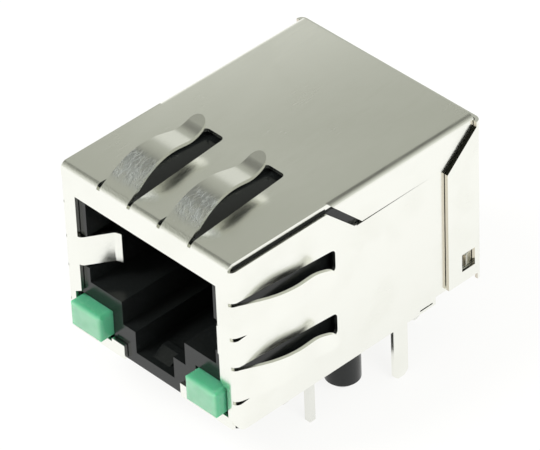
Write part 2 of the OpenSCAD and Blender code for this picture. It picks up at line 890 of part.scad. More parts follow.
// Chip parts lie on the board's rear face: a body between two end caps
module chip(x, z, l, w, h) {
    cap = 0.25;
    skin = 0.04;
    placed()
        translate([x, board_rear, z])
            rotate([-90, 0, 0]) {
                translate([-l / 2 + cap, -w / 2 + skin, 0])
                    cube([l - 2 * cap, w - 2 * skin, h - skin]);
                for (end = [-l / 2, l / 2 - cap])
                    translate([end, -w / 2, 0])
                        cube([cap, w, h]);
            }
}

module hv_capacitor() {
    color([0.72, 0.6, 0.45])
        chip(0, block_top + 2 * core_r + 0.85 + core_r, 1.6, 1, 1.1);
}

module resistor(i) {
    color([0.15, 0.15, 0.16])
        chip((i - (resistor_count + 1) / 2) * 2.2, upper_run_z - 0.85, 1.2, 0.6, 0.4);
}

front_shield();
rear_shield();
housing();
contact_insert();
magnetics_board();
pin_block();
mirror([1, 0, 0]) lamp();  // led_left
lamp();  // led_right
hv_capacitor();
for (i = [1:contact_count]) contact(i);
for (i = [1:pin_count]) signal_pin(i);
for (i = [1:lead_count]) led_lead(i);
for (i = [1:core_count]) toroid_core(i);
for (i = [1:core_count]) winding(i);
for (i = [1:resistor_count]) resistor(i);
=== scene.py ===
"""Finish, light and camera for a shielded RJ45 board jack with two indicator lamps.

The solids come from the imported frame. Each operator below finishes one piece or one group of like pieces,
and the last one sets up the floor, the light and the camera. All lengths are in metres.
"""

import math

import bpy
from bpy.props import FloatProperty, FloatVectorProperty, PointerProperty
from mathutils import Matrix, Vector


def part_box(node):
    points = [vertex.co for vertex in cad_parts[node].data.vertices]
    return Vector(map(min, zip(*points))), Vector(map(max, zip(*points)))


bl_info = {
    "name": "RJ45 board jack finish",
    "version": (1, 0, 0),
    "blender": (4, 5, 0),
    "location": "3D View > Sidebar > Jack",
    "description": "Finishes the solids of a shielded RJ45 board jack and lights them",
    "category": "Object",
}

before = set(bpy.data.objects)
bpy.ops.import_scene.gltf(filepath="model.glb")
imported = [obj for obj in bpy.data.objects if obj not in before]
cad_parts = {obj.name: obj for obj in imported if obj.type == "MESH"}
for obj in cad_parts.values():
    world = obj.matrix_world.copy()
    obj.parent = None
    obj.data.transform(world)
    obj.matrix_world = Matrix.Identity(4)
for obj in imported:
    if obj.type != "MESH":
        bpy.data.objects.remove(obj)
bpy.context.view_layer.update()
MM = 0.001

# Planes of the jack that the finishes refer to.
# The sheet's outer face lies SHEET_REACH beyond the housing.
SHEET_REACH = 0.3 * MM
FRAME_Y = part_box("front_shield")[0].y
FLAP_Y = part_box("rear_shield")[0].y
LAMP_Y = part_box("led_right")[0].y
TOP_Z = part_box("housing")[1].z + SHEET_REACH
SIDE_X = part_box("housing")[1].x + SHEET_REACH
PIN_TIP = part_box("signal_pin_1")[0].z


# ---------------------------------------------------------------- settings


def colour(name, description, value):
    return FloatVectorProperty(
        name=name, description=description, default=value, subtype="COLOR", size=3, min=0, max=1
    )


def share(name, description, value):
    return FloatProperty(
        name=name, description=description, default=value, min=0, max=1, subtype="FACTOR"
    )


def length(name, description, value):
    return FloatProperty(
        name=name, description=description, default=value, min=0, unit="LENGTH", precision=5
    )


def angle(name, description, degrees):
    return FloatProperty(
        name=name, description=description, default=math.radians(degrees), subtype="ANGLE"
    )


class JackShieldSettings(bpy.types.PropertyGroup):
    plate: colour("Plate", "Colour of the tin plated sheet", (0.925, 0.93, 0.875))
    stain: colour("Stain", "Colour where the plating is duller", (0.9, 0.905, 0.845))
    cut: colour("Cut edge", "Colour of the upright edges of the cover's flaps", (0.7, 0.65, 0.56))
    # Painted shade: near black on the flaps' slanted edges, which lie in shade over the gap to the side
    # wall.
    gap: colour(
        "Slanted edge", "Colour of the shaded slanted edges of the flaps", (0.03, 0.03, 0.025)
    )
    rub: colour("Rubbed plate", "Colour where a finger has been rubbed", (0.86, 0.89, 0.9))
    roughness: share("Roughness", "Roughness of the sheet", 0.2)
    rub_roughness: share("Rubbed roughness", "Roughness where a finger has been rubbed", 0.06)
    grain: length("Grain", "Spacing of the sheet's rolling marks", 0.09 * MM)


class JackPlasticSettings(bpy.types.PropertyGroup):
    body: colour("Body", "Colour of the moulded plastic", (0.008, 0.0092, 0.0088))
    dust: colour("Dust", "Colour of the finest scuffs", (0.03, 0.034, 0.034))
    roughness: share("Roughness", "Roughness of the moulded faces", 0.16)


class JackLampSettings(bpy.types.PropertyGroup):
    # The lamps' body colour; the face colour below is painted light, a paler front face, and also the
    # mottle's colour.
    deep: colour("Deep", "Colour in the depth of a lamp", (0.07, 0.3, 0.165))
    face: colour("Face", "Colour of a lamp's front face", (0.22, 0.43, 0.29))
    roughness: share("Roughness", "Roughness of a lamp", 0.18)


class JackMetalSettings(bpy.types.PropertyGroup):
    tin: colour("Tin", "Colour of the tin plated pins", (0.84, 0.845, 0.8))
    gold: colour("Gold", "Colour of the plated contacts", (0.93, 0.72, 0.34))
    copper: colour("Wire", "Colour of the enamelled wire", (0.6, 0.24, 0.09))


class JackBoardSettings(bpy.types.PropertyGroup):
    mask: colour("Solder mask", "Colour of the board's solder mask", (0.02, 0.13, 0.05))
    trace: colour("Trace", "Colour of the mask over a trace", (0.05, 0.24, 0.1))
    ferrite: colour("Ferrite", "Colour of the cores", (0.035, 0.035, 0.04))
    ceramic: colour("Ceramic", "Colour of the capacitor's body", (0.5, 0.36, 0.2))
    chip: colour("Chip", "Colour of the resistors' glaze", (0.012, 0.012, 0.014))


class JackStageSettings(bpy.types.PropertyGroup):
    azimuth: angle("Azimuth", "Direction of the camera from the front", 47.547)
    elevation: angle("Elevation", "Height angle of the camera", 38.32)
    roll: angle("Roll", "Lean of the camera", -2.464)
    distance: length("Distance", "Distance of the camera from its target", 298.69 * MM)
    target: FloatVectorProperty(
        name="Target",
        description="Point that the camera looks at",
        default=(0.113 * MM, -0.775 * MM, 6.587 * MM),
        subtype="TRANSLATION",
        size=3,
        precision=5,
    )
    lens: FloatProperty(
        name="Lens", description="Focal length in millimetres", default=306.5, min=1
    )
    floor: colour("Floor", "Colour of the floor", (0.9, 0.9, 0.9))
    low_sky: colour("Low surround", "Colour of the surround near the floor", (1.0, 1.0, 0.97))
    soft_sky: colour(
        "Soft surround", "Colour of the surround above the horizon", (0.68, 0.69, 0.64)
    )
    mid_sky: colour("Middle surround", "Colour of the surround half way up", (0.4, 0.41, 0.36))
    high_sky: colour("High surround", "Colour of the surround overhead", (0.1, 0.1, 0.09))
    fill: share("Fill", "Strength of the surround's plain light", 0.75)


SETTINGS = {
    "jack_shield": JackShieldSettings,
    "jack_plastic": JackPlasticSettings,
    "jack_lamp": JackLampSettings,
    "jack_metal": JackMetalSettings,
    "jack_board": JackBoardSettings,
    "jack_stage": JackStageSettings,
}


# ---------------------------------------------------------------- shader helpers


WHITE = (1, 1, 1, 1)


def rgba(value):
    return (*value, 1.0)


def add(tree, kind, at=(0, 0), values=None, **settings):
    """A shader node of that kind, with its settings and unlinked input values."""
    made = tree.nodes.new(kind)
    made.location = at
    for key, value in settings.items():
        setattr(made, key, value)
    for key, value in (values or {}).items():
        made.inputs[key].default_value = value
    return made


def wire(tree, source, target):
    tree.links.new(source, target)


def calc(tree, operation, a, b=None, at=(0, 0), clamp=False):
    """A maths node: a and b are numbers or output sockets."""
    made = add(tree, "ShaderNodeMath", at, operation=operation, use_clamp=clamp)
    for i, value in enumerate(v for v in (a, b) if v is not None):
        if isinstance(value, (int, float)):
            made.inputs[i].default_value = value
        else:
            wire(tree, value, made.inputs[i])
    return made.outputs[0]


def ramp(tree, value, low, high, out_low=0.0, out_high=1.0, at=(0, 0)):
    """A smooth step of value from low to high."""
    made = add(
        tree,
        "ShaderNodeMapRange",
        at,
        {"From Min": low, "From Max": high, "To Min": out_low, "To Max": out_high},
        interpolation_type="SMOOTHSTEP",
    )
    wire(tree, value, made.inputs["Value"])
    return made.outputs["Result"]


def past(tree, value, plane, near, far, falling=False, at=(0, 0)):
    """A smooth step between two distances from a plane, in millimetres."""
    ends = (1.0, 0.0) if falling else (0.0, 1.0)
    return ramp(tree, value, plane + near * MM, plane + far * MM, *ends, at)


def product(tree, *masks, at=(0, 0)):
    """The product of several masks."""
    total = masks[0]
    for i, mask in enumerate(masks[1:]):
        total = calc(tree, "MULTIPLY", total, mask, (at[0] + 200 * i, at[1]))
    return total


def split(tree, point, at=(-1200, 0)):
    """The x, y and z of a point or a normal."""
    axes = add(tree, "ShaderNodeSeparateXYZ", at)
    wire(tree, point, axes.inputs[0])
    return axes.outputs


def noise(tree, place, scale, detail=2.0, roughness=0.5, at=(0, 0)):
    made = add(
        tree, "ShaderNodeTexNoise", at, {"Scale": scale, "Detail": detail, "Roughness": roughness}
    )
    wire(tree, place, made.inputs["Vector"])
    return made.outputs["Fac"]


def mix(tree, factor, a, b, at=(0, 0)):
    """A colour mix: factor is a socket, a and b are colours or sockets."""
    made = add(tree, "ShaderNodeMix", at, data_type="RGBA")
    wire(tree, factor, made.inputs["Factor"])
    for name, value in (("A", a), ("B", b)):
        socket = [s for s in made.inputs if s.name == name and s.type == "RGBA"][0]
        if isinstance(value, bpy.types.NodeSocket):
            wire(tree, value, socket)
        else:
            socket.default_value = rgba(value)
    return [s for s in made.outputs if s.type == "RGBA"][0]


def place_in(tree, at=(-1200, 0), stretch=None):
    """The point on the surface, in metres, stretched along the axes where that is asked for."""
    point = add(tree, "ShaderNodeTexCoord", at).outputs["Object"]
    if stretch is None:
        return point
    mapping = add(tree, "ShaderNodeMapping", (at[0] + 180, at[1]), {"Scale": stretch})
    wire(tree, point, mapping.inputs["Vector"])
    return mapping.outputs["Vector"]


def new_group(name, inputs, outputs):
    """An empty node group with its named sockets. An input is (name, kind, default)."""
    group = bpy.data.node_groups.new(name, "ShaderNodeTree")
    for socket_name, kind, default in inputs:
        socket = group.interface.new_socket(socket_name, in_out="INPUT", socket_type=kind)
        if default is not None:
            socket.default_value = default
    for socket_name, kind in outputs:
        group.interface.new_socket(socket_name, in_out="OUTPUT", socket_type=kind)
    source = group.nodes.new("NodeGroupInput")
    source.location = (-1400, 0)
    sink = group.nodes.new("NodeGroupOutput")
    sink.location = (900, 0)
    return group, source.outputs, sink.inputs


FLOAT = "NodeSocketFloat"
COLOUR = "NodeSocketColor"
VECTOR = "NodeSocketVector"


def sheet_grain():
    """Rolled and plated sheet: cloudy dull areas, fine rolling marks and a slow waviness."""
    group, given, out = new_group(
        "sheet_grain",
        [
            ("Plate", COLOUR, None),
            ("Stain", COLOUR, None),
            ("Marks", FLOAT, 9000.0),
            ("Cloud", FLOAT, 260.0),
            ("Roughness", FLOAT, 0.1),
        ],
        [("Color", COLOUR), ("Roughness", FLOAT), ("Height", FLOAT)],
    )
    flat = place_in(group)
    rolled = place_in(group, (-1200, -400), (1.0, 0.06, 1.0))
    cloud = add(group, "ShaderNodeTexNoise", (-700, 200), {"Detail": 4.0, "Roughness": 0.55})
    wire(group, flat, cloud.inputs["Vector"])
    wire(group, given["Cloud"], cloud.inputs["Scale"])
    marks = add(group, "ShaderNodeTexNoise", (-700, -200), {"Detail": 3.0, "Roughness": 0.6})
    wire(group, rolled, marks.inputs["Vector"])
    wire(group, given["Marks"], marks.inputs["Scale"])
    slow = noise(group, flat, 190.0, 1.0, at=(-700, -500))
    dull = ramp(group, cloud.outputs["Fac"], 0.45, 0.72, at=(-400, 200))
    wire(group, mix(group, dull, given["Plate"], given["Stain"], (0, 200)), out["Color"])
    streak = ramp(group, marks.outputs["Fac"], 0.3, 0.75, -0.03, 0.05, (-400, -200))
    rough = calc(group, "ADD", given["Roughness"], streak, (0, 0))
    clouded = calc(group, "MULTIPLY", dull, 0.04, (0, -120))
    wire(group, calc(group, "ADD", rough, clouded, (200, 0)), out["Roughness"])
    height = calc(group, "MULTIPLY", marks.outputs["Fac"], 0.06, (0, -300))
    slope = calc(group, "MULTIPLY", slow, 1.0, (0, -450))
    wire(group, calc(group, "ADD", height, slope, (200, -350)), out["Height"])
    return group


def scratch_marks():
    """Short crossing scratches: 1 on a scratch, 0 between them."""
    group, given, out = new_group(
        "scratch_marks", [("Scale", FLOAT, 2500.0), ("Amount", FLOAT, 0.5)], [("Mask", FLOAT)]
    )
    total = None
    for turn, stretch in ((0.5, 0.16), (-0.7, 0.2), (1.3, 0.12)):
        point = add(group, "ShaderNodeTexCoord", (-1200, -300 * turn)).outputs["Object"]
        mapping = add(
            group,
            "ShaderNodeMapping",
            (-1000, -300 * turn),
            {"Scale": (1.0, stretch, 1.0), "Rotation": (turn * 0.4, turn * 0.3, turn)},
        )
        wire(group, point, mapping.inputs["Vector"])
        values = {"Detail": 2.0, "Roughness": 0.65}
        texture = add(group, "ShaderNodeTexNoise", (-800, -300 * turn), values)
        wire(group, mapping.outputs["Vector"], texture.inputs["Vector"])
        wire(group, given["Scale"], texture.inputs["Scale"])
        ridge = calc(group, "ABSOLUTE", calc(group, "SUBTRACT", texture.outputs["Fac"], 0.5))
        line = ramp(group, ridge, 0.0, 0.035, 1.0, 0.0, (-400, -300 * turn))
        total = line if total is None else calc(group, "MAXIMUM", total, line, (-200, -300 * turn))
    wire(group, calc(group, "MULTIPLY", total, given["Amount"], (200, 0)), out["Mask"])
    return group


def fine_mottle():
    """Fine mottle of a moulded, sintered or plated surface."""
    group, given, out = new_group(
        "fine_mottle",
        [
            ("Color", COLOUR, None),
            ("Mottle", COLOUR, None),
            ("Scale", FLOAT, 3000.0),
            ("Amount", FLOAT, 0.3),
            ("Roughness", FLOAT, 0.3),
            ("Spread", FLOAT, 0.08),
        ],
        [("Color", COLOUR), ("Roughness", FLOAT), ("Height", FLOAT)],
    )
    flat = place_in(group)
    fine = add(group, "ShaderNodeTexNoise", (-700, 200), {"Detail": 4.0, "Roughness": 0.6})
    wire(group, flat, fine.inputs["Vector"])
    wire(group, given["Scale"], fine.inputs["Scale"])
    wide = noise(group, flat, 420.0, 2.0, at=(-700, -100))
    speck = ramp(group, fine.outputs["Fac"], 0.48, 0.78, at=(-400, 200))
    area = ramp(group, wide, 0.35, 0.7, at=(-400, -100))
    both = calc(group, "MULTIPLY", speck, area, (-200, 100))
    factor = calc(group, "MULTIPLY", both, given["Amount"], (0, 100), True)
    wire(group, mix(group, factor, given["Color"], given["Mottle"], (300, 200)), out["Color"])
    swing = calc(group, "MULTIPLY", area, given["Spread"], (0, -100))
    wire(group, calc(group, "ADD", given["Roughness"], swing, (200, -100)), out["Roughness"])
    wire(group, fine.outputs["Fac"], out["Height"])
    return group


def use(tree, group, at=(-500, 0), **values):
    made = tree.nodes.new("ShaderNodeGroup")
    made.node_tree = group
    made.location = at
    for key, value in values.items():
        made.inputs[key].default_value = value
    return made


def group_named(maker):
    return bpy.data.node_groups.get(maker.__name__) or maker()


def new_material(name, shown, **values):
    """A material with one Principled shader, whose constant values are set on its own sockets."""
    material = bpy.data.materials.new(name)
    material.use_nodes = True
    material.diffuse_color = rgba(shown)
    tree = material.node_tree
    shader = tree.nodes["Principled BSDF"]
    shader.location = (600, 0)
    tree.nodes["Material Output"].location = (900, 0)
    for key, value in values.items():
        shader.inputs[key.replace("_", " ")].default_value = value
    return material, tree, shader


def bump(tree, height, shader, strength, depth, at=(300, -300)):
    made = add(tree, "ShaderNodeBump", at, {"Strength": strength, "Distance": depth})
    wire(tree, height, made.inputs["Height"])
    wire(tree, made.outputs["Normal"], shader.inputs["Normal"])


def finish_nodes(names, material):
    """Puts the material in every slot of those nodes and smooths their rolled bends."""
    for name in names:
        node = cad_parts[name]
        node.data.materials.clear()
        node.data.materials.append(material)
        smooth_bends(node)


def numbered(name, count):
    return [f"{name}_{i + 1}" for i in range(count)]


# ---------------------------------------------------------------- smooth bends


BEND_ANGLE = math.radians(24)
WELD_DISTANCE = 0.0005 * MM


def bend_smoother():
    """Geometry nodes that weld a solid's faces and smooth its edges of less than BEND_ANGLE."""
    name = "smooth_bends"
    if name in bpy.data.node_groups:
        return bpy.data.node_groups[name]
    group = bpy.data.node_groups.new(name, "GeometryNodeTree")
    group.interface.new_socket("Geometry", in_out="INPUT", socket_type="NodeSocketGeometry")
    group.interface.new_socket("Geometry", in_out="OUTPUT", socket_type="NodeSocketGeometry")
    source = group.nodes.new("NodeGroupInput")
    sink = group.nodes.new("NodeGroupOutput")
    weld = group.nodes.new("GeometryNodeMergeByDistance")
    weld.inputs["Distance"].default_value = WELD_DISTANCE
    angle = group.nodes.new("GeometryNodeInputMeshEdgeAngle")
    sharp = group.nodes.new("FunctionNodeCompare")
    sharp.operation = "GREATER_THAN"
    sharp.inputs["B"].default_value = BEND_ANGLE
    normals = group.nodes.new("GeometryNodeSetMeshNormal")
    normals.mode = "SHARPNESS"
    normals.inputs["Remove Custom"].default_value = True
    group.links.new(source.outputs[0], weld.inputs["Geometry"])
    group.links.new(weld.outputs["Geometry"], normals.inputs["Mesh"])
    group.links.new(angle.outputs["Unsigned Angle"], sharp.inputs["A"])
    group.links.new(sharp.outputs["Result"], normals.inputs["Edge Sharpness"])
    group.links.new(normals.outputs["Mesh"], sink.inputs[0])
    return group


def smooth_bends(node):
    modifier = node.modifiers.new("Smooth bends", "NODES")
    modifier.node_group = bend_smoother()


# ---------------------------------------------------------------- materials


# Where a top finger is rubbed, in millimetres behind the frame and over the top plate
RUB_BEGINS = (0.7, 1.4)
RUB_ENDS = (2.7, 3.4)
RUB_HEIGHT = (0.1, 0.3)
# The grainy fold between frame and top plate, in millimetres behind the frame and from the plate
FOLD_DEPTH = (0.35, 0.5)
FOLD_HEIGHT = (-0.45, -0.3)
# Depth of the sheet's own grain, and how many times as deep the marks go
SHEET_DEPTH = 0.0016 * MM
SCRATCH_DEPTH = -5.0
FOLD_GRAIN_DEPTH = 9.0
SCRATCH_SCALE = 1300.0
FOLD_GRAIN_SCALE = 9000.0


def plate_material(settings):
    """Bright tin plated sheet, rubbed where the fingers rise from the frame."""
    material, tree, shader = new_material("tin_plated_sheet", settings.plate, Metallic=1.0)
    grain = use(
        tree,
        group_named(sheet_grain),
        (-300, 200),
        Plate=rgba(settings.plate),
        Stain=rgba(settings.stain),
        Marks=1 / settings.grain,
        Roughness=settings.roughness,
    )
    scratches = use(tree, group_named(scratch_marks), (-300, -200), Scale=SCRATCH_SCALE, Amount=1.0)
    point = place_in(tree, (-1400, 0))
    _, y, z = split(tree, point)

    begins = past(tree, y, FRAME_Y, *RUB_BEGINS, at=(-900, 100))
    ends = past(tree, y, FRAME_Y, *RUB_ENDS, falling=True, at=(-900, -100))
    above = past(tree, z, TOP_Z, *RUB_HEIGHT, at=(-900, -300))
    cloud = noise(tree, point, SCRATCH_SCALE, 3.0, at=(-900, -500))
    patch = ramp(tree, cloud, 0.3, 0.6, 0.35, 1.0, (-700, -500))
    rubbed = product(tree, begins, ends, above, patch, at=(-700, 0))
    colour_out = mix(tree, rubbed, grain.outputs["Color"], settings.rub, (200, 250))
    wire(tree, colour_out, shader.inputs["Base Color"])
    extra = calc(tree, "MULTIPLY", rubbed, settings.rub_roughness, (0, 0))
    rough = calc(tree, "ADD", grain.outputs["Roughness"], extra, (200, 0))
    wire(tree, rough, shader.inputs["Roughness"])

    lines = product(tree, scratches.outputs["Mask"], rubbed, at=(-100, -200))
    scratched = calc(tree, "MULTIPLY", lines, SCRATCH_DEPTH, (100, -300))
    height = calc(tree, "ADD", grain.outputs["Height"], scratched, (200, -200))
    front = past(tree, y, FRAME_Y, *FOLD_DEPTH, falling=True, at=(-900, -700))
    high = past(tree, z, TOP_Z, *FOLD_HEIGHT, at=(-900, -900))
    peel = noise(tree, point, FOLD_GRAIN_SCALE, 2.0, at=(-900, -1100))
    fold = product(tree, front, high, peel, at=(-700, -800))
    peeled = calc(tree, "MULTIPLY", fold, FOLD_GRAIN_DEPTH, (-300, -800))
    bump(tree, calc(tree, "ADD", height, peeled, (300, -500)), shader, 1.0, SHEET_DEPTH)
    return material


# The flaps' sheared front edges, in millimetres beyond the side wall and from the flaps' front
FLAP_OUT = (-0.1, 0.02)
FLAP_BACK = (-0.4, -0.2)


def cut_edge(tree, shader, upright_colour, slant_shade_colour):
    """Darkens the sheared front edges of the rear cover's side flaps, most where they slant; the near black
    on the slanted edges is painted shade.
    """
    coordinates = add(tree, "ShaderNodeTexCoord", (-1400, 600))
    normal = split(tree, coordinates.outputs["Normal"], (-1200, 600))
    place = split(tree, coordinates.outputs["Object"], (-1200, 800))
    forward = ramp(tree, normal["Y"], -0.6, -0.3, 1.0, 0.0, (-900, 600))
    side = calc(tree, "ABSOLUTE", place["X"], at=(-1000, 800))
    out = past(tree, side, SIDE_X, *FLAP_OUT, at=(-900, 800))
    back = past(tree, place["Y"], FLAP_Y, *FLAP_BACK, at=(-900, 1000))
    edge = product(tree, forward, out, back, at=(-600, 700))
    sheet = shader.inputs["Base Color"].links[0].from_socket
    # Painted shade: edges that face upwards are painted near black.
    slanted = ramp(tree, normal["Z"], 0.2, 0.4, at=(-600, 400))
    cut = mix(tree, slanted, upright_colour, slant_shade_colour, (200, 500))
    wire(tree, mix(tree, edge, sheet, cut, (400, 400)), shader.inputs["Base Color"])


def plastic_material(settings):
    """Glossy black moulding with faint scuffs."""
    material, tree, shader = new_material("black_moulding", settings.body, IOR=1.42, Metallic=0.0)
    mottle = use(
        tree,
        group_named(fine_mottle),
        (-300, 100),
        Color=rgba(settings.body),
        Mottle=rgba(settings.dust),
        Scale=4200.0,
        Amount=0.35,
        Roughness=settings.roughness,
        Spread=0.06,
    )
    wire(tree, mottle.outputs["Color"], shader.inputs["Base Color"])
    wire(tree, mottle.outputs["Roughness"], shader.inputs["Roughness"])
    bump(tree, mottle.outputs["Height"], shader, 0.25, 0.001 * MM)
    return material


# Depth behind a lamp's front face, in millimetres, over which the painted light on the front face fades
# into the body colour
LAMP_LIT_DEPTH = 0.22


def lamp_material(settings):
    """Milky green resin with painted light on the front face: paler there, the body colour towards the
    socket.
    """
    material, tree, shader = new_material(
        "green_resin",
        settings.face,
        IOR=1.5,
        Metallic=0.0,
        Subsurface_Weight=0.55,
        Subsurface_Radius=(0.35, 1.0, 0.6),
        Subsurface_Scale=1.1 * MM,
    )
    point = place_in(tree, (-1400, 0))
    # Painted light: the front face is painted paler than the rest of the lamp.
    front = past(tree, split(tree, point)["Y"], LAMP_Y, 0, LAMP_LIT_DEPTH, falling=True, at=(-900, 0))
    cloud = noise(tree, point, 900.0, 2.0, at=(-900, -300))
    haze = ramp(tree, cloud, 0.3, 0.7, 0.75, 1.0, (-700, -300))
    pale = product(tree, front, haze, at=(-600, 0))
    body = mix(tree, pale, settings.deep, settings.face, (-300, 0))
    mottle = use(
        tree,
        group_named(fine_mottle),
        (0, 0),
        Mottle=rgba(settings.face),
        Scale=2600.0,
        Amount=0.25,
        Roughness=settings.roughness,
        Spread=0.06,
    )
    wire(tree, body, mottle.inputs["Color"])
    wire(tree, mottle.outputs["Color"], shader.inputs["Base Color"])
    wire(tree, mottle.outputs["Roughness"], shader.inputs["Roughness"])
    bump(tree, mottle.outputs["Height"], shader, 0.3, 0.002 * MM)
    return material


def mottled_material(name, base, other, roughness, metallic, scale, amount, depth=0.002):
    """A plain material whose colour and gloss vary finely, as on pins, cores, wire and chips."""
    material, tree, shader = new_material(name, base, Metallic=metallic)
    mottle = use(
        tree,
        group_named(fine_mottle),
        (-300, 100),
        Color=rgba(base),
        Mottle=rgba(other),
        Scale=scale,
        Amount=amount,
        Roughness=roughness,
        Spread=0.12,
    )
    wire(tree, mottle.outputs["Color"], shader.inputs["Base Color"])
    wire(tree, mottle.outputs["Roughness"], shader.inputs["Roughness"])
    bump(tree, mottle.outputs["Height"], shader, 0.6, depth * MM)
    return material


def darker(value, factor):
    return tuple(v * factor for v in value)


def board_material(settings):
    """Solder mask with the paler lines of the traces under it."""
    material, tree, shader = new_material("solder_mask", settings.mask, Metallic=0.0)
    point = place_in(tree, (-1400, 0))
    bricks = add(
        tree,
        "ShaderNodeTexBrick",
        (-900, 0),
        {"Scale": 700.0, "Mortar Size": 0.06, "Brick Width": 1.7, "Row Height": 0.8},
    )
    turn = add(tree, "ShaderNodeMapping", (-1150, 0), {"Rotation": (math.pi / 2, 0, 0)})
    wire(tree, point, turn.inputs["Vector"])
    wire(tree, turn.outputs["Vector"], bricks.inputs["Vector"])
    base = mix(tree, bricks.outputs["Fac"], settings.mask, settings.trace, (-600, 100))
    trace = rgba(settings.trace)
    mottle = use(
        tree, group_named(fine_mottle), (-200, 100), Mottle=trace, Roughness=0.3, Amount=0.3
    )
    wire(tree, base, mottle.inputs["Color"])
    wire(tree, mottle.outputs["Color"], shader.inputs["Base Color"])
    wire(tree, mottle.outputs["Roughness"], shader.inputs["Roughness"])
    bump(tree, bricks.outputs["Fac"], shader, 0.5, 0.01 * MM)
    return material


# ---------------------------------------------------------------- stage


# Bands of the surround that metal mirrors, from the horizon (0) to overhead (1), and their settings
SKY_BANDS = (
    (0.0, "low_sky"),
    (0.1, "low_sky"),
    (0.3, "soft_sky"),
    (0.52, "soft_sky"),
    (0.6, "mid_sky"),
    (0.74, "mid_sky"),
    (0.82, "high_sky"),
    (1.0, "mid_sky"),
)


def surround(settings):
    """A white surround, banded where metal mirrors it, with a plain light for everything else."""
    world = bpy.data.worlds.new("surround")
    bpy.context.scene.world = world
    world.use_nodes = True
    tree = world.node_tree
    tree.nodes.clear()
    point = add(tree, "ShaderNodeTexCoord", (-1200, 0)).outputs["Generated"]
    bands = add(tree, "ShaderNodeValToRGB", (-700, 0))
    bands.color_ramp.interpolation = "EASE"
    elements = bands.color_ramp.elements
    while len(elements) < len(SKY_BANDS):
        elements.new(0.5)
    for element, (position, name) in zip(elements, SKY_BANDS):
        element.position = position
        element.color = rgba(getattr(settings, name))
    wire(tree, split(tree, point, (-1000, 0))["Z"], bands.inputs["Fac"])
    rays = add(tree, "ShaderNodeLightPath", (-700, 500))
    white = add(tree, "ShaderNodeBackground", (0, 300), {"Color": WHITE, "Strength": 1.0})
    lit = {"Color": WHITE, "Strength": settings.fill}
    plain = add(tree, "ShaderNodeBackground", (-300, 100), lit)
    mirrored = add(tree, "ShaderNodeBackground", (-300, -100), {"Strength": 1.0})
    wire(tree, bands.outputs["Color"], mirrored.inputs["Color"])
    shine = add(tree, "ShaderNodeMixShader", (0, 0))
    wire(tree, rays.outputs["Is Glossy Ray"], shine.inputs["Fac"])
    wire(tree, plain.outputs[0], shine.inputs[1])
    wire(tree, mirrored.outputs[0], shine.inputs[2])
    seen = add(tree, "ShaderNodeMixShader", (300, 0))
    camera_ray, clear_ray = rays.outputs["Is Camera Ray"], rays.outputs["Is Transmission Ray"]
    wire(tree, calc(tree, "MAXIMUM", camera_ray, clear_ray, (0, 500)), seen.inputs["Fac"])
    wire(tree, shine.outputs[0], seen.inputs[1])
    wire(tree, white.outputs[0], seen.inputs[2])
    output = add(tree, "ShaderNodeOutputWorld", (600, 0))
    wire(tree, seen.outputs[0], output.inputs["Surface"])


FLOOR_SIZE = 0.7
FLOOR_WHITE = 0.88
SENSOR_WIDTH = 36
CLIP_RANGE = (0.01, 5)
# Soft lamps: name, place from the camera's target, size and power
SOFT_LAMPS = (
    ("key_lamp", (-0.12, -0.2, 0.28), 0.16, 1.1),
    ("side_lamp", (0.26, -0.04, 0.16), 0.2, 0.6),
)


def floor_material(settings):
    """A pale floor that the camera and the metal see as white, with a faint shadow."""
    material = bpy.data.materials.new("pale_floor")
    material.use_nodes = True
    tree = material.node_tree
    tree.nodes.clear()
    point = add(tree, "ShaderNodeTexCoord", (-900, -200)).outputs["Object"]
    cloud = noise(tree, point, 60.0, 3.0, at=(-700, -200))
    grain = ramp(tree, cloud, 0.3, 0.7, 0.985, 1.0, (-500, -200))
    paper = add(tree, "ShaderNodeMix", (-300, -200), data_type="RGBA", blend_type="MULTIPLY")
    paper.inputs["Factor"].default_value = 1.0
    sockets = [s for s in paper.inputs if s.type == "RGBA"]
    sockets[0].default_value = rgba(settings.floor)
    wire(tree, grain, sockets[1])
    matt = add(tree, "ShaderNodeBsdfDiffuse", (0, -100))
    wire(tree, [s for s in paper.outputs if s.type == "RGBA"][0], matt.inputs["Color"])
    glow = add(tree, "ShaderNodeEmission", (0, 100), {"Color": (1, 1, 0.985, 1), "Strength": 1.0})
    rays = add(tree, "ShaderNodeLightPath", (-300, 500))
    camera_ray, shiny_ray = rays.outputs["Is Camera Ray"], rays.outputs["Is Glossy Ray"]
    direct = calc(tree, "MAXIMUM", camera_ray, shiny_ray, (-100, 500))
    direct = calc(tree, "MAXIMUM", direct, rays.outputs["Is Transmission Ray"], (100, 500))
    factor = calc(tree, "MULTIPLY", direct, FLOOR_WHITE, (300, 400))
    both = add(tree, "ShaderNodeMixShader", (500, 0))
    wire(tree, factor, both.inputs["Fac"])
    wire(tree, matt.outputs[0], both.inputs[1])
    wire(tree, glow.outputs[0], both.inputs[2])
    output = add(tree, "ShaderNodeOutputMaterial", (700, 0))
    wire(tree, both.outputs[0], output.inputs["Surface"])
    return material


def aimed(location, target, roll=0.0):
    """Rotation that looks from location at target, leaning by roll about the line of sight."""
    direction = (Vector(target) - Vector(location)).normalized()
    level = direction.to_track_quat("-Z", "Y").to_matrix()
    return (level @ Matrix.Rotation(roll, 3, "Z")).to_euler()


def soft_lamp(name, location, size, power, target):
    data = bpy.data.lights.new(name, "AREA")
    data.shape = "DISK"
    data.size = size
    data.energy = power
    lamp = bpy.data.objects.new(name, data)
    lamp.location = location
    lamp.rotation_euler = aimed(location, target)
    lamp.visible_glossy = False
    bpy.context.scene.collection.objects.link(lamp)


# ---------------------------------------------------------------- operators


